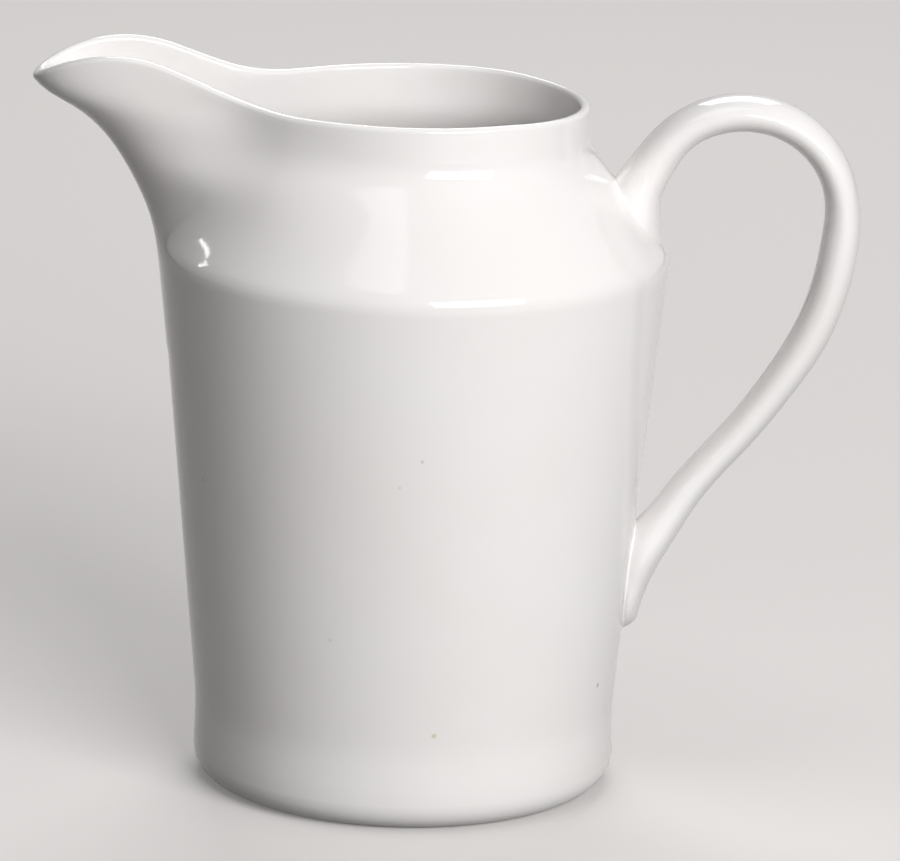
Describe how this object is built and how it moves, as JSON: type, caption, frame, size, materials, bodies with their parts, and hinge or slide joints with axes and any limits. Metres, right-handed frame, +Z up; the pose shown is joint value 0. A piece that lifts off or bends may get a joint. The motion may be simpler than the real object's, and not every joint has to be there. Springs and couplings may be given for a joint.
{
  "type": "creamer",
  "caption": "Small empty china cream jug with a tapered round wall, coned shoulder, drawn pouring spout and loop handle, glazed white all over.",
  "frame": {"origin": "centre of the foot, on the surface that the jug stands on", "axes": "+Z up, +X towards the handle, -X towards the spout, +Y to the far side when the spout is on the left"},
  "size_m": [0.124, 0.076, 0.1117],
  "materials": {
    "glazed_china": "clear gloss glaze over white china"
  },
  "bodies": {
    "root": {"creamer": "glazed_china"}
  },
  "joints": []
}
